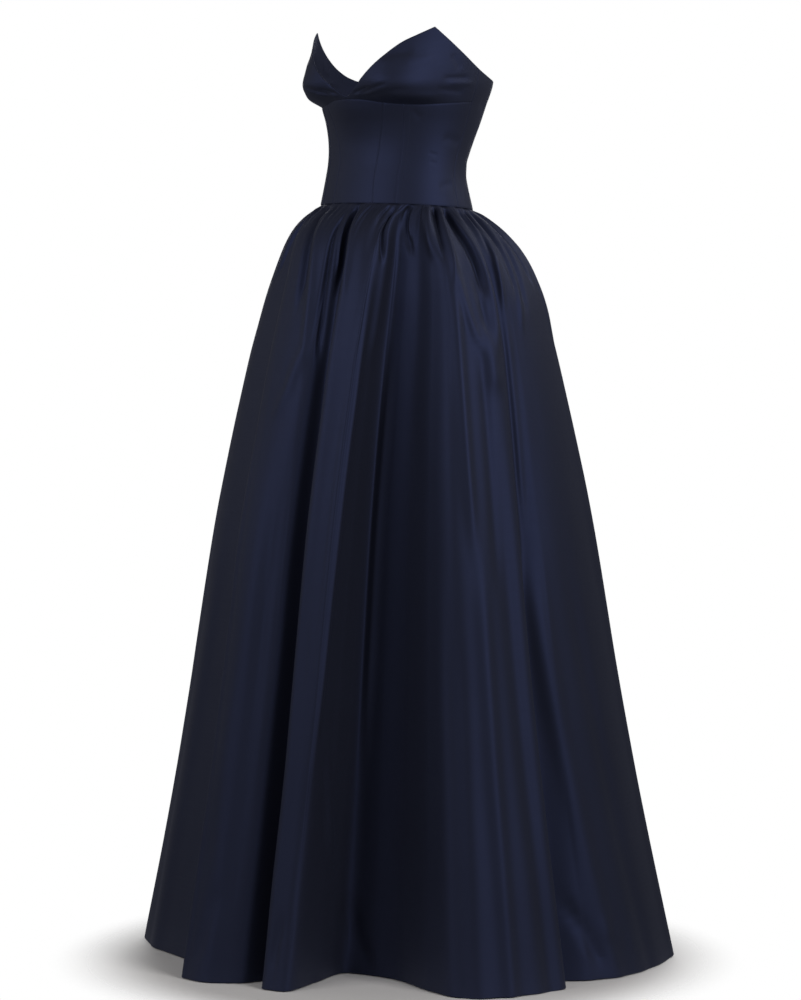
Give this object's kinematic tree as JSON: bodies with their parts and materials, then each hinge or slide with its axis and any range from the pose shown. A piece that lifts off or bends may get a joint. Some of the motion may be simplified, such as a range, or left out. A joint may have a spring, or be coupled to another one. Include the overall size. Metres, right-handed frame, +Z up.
{
  "type": "strapless corset ball gown",
  "caption": "Strapless floor-length satin gown: pointed cups in a deep V over a panelled corset, and a full skirt gathered into a waist seam.",
  "frame": {"origin": "middle of the narrowest waist, on the body's axis", "axes": "+Z up, -Y is the front of the dress, +X is the wearer's left"},
  "size_m": [0.8094, 0.7827, 1.449],
  "materials": {
    "satin": "midnight navy heavy satin with a soft broad sheen and a fine twill face",
    "zip_tape": "navy woven zip tape",
    "zip_metal": "navy lacquered metal"
  },
  "bodies": {
    "dress": {"cup_left": "satin", "cup_right": "satin", "corset_front": "satin", "corset_side_front_left": "satin", "corset_side_front_right": "satin", "corset_side_left": "satin", "corset_side_right": "satin", "corset_back_left": "satin", "corset_back_right": "satin", "skirt_front": "satin", "skirt_back_left": "satin", "skirt_back_right": "satin", "zip_tape": "zip_tape", "zip_slider": "zip_metal"},
    "pull": {"zip_pull": "zip_metal"}
  },
  "joints": [
    {"name": "zip_pull_swing", "type": "hinge", "parent": "dress", "child": "pull", "pos_m": [0, 0.14839, 0.11065], "axis": [1, 0, 0], "range_deg": [-15, 150]}
  ]
}
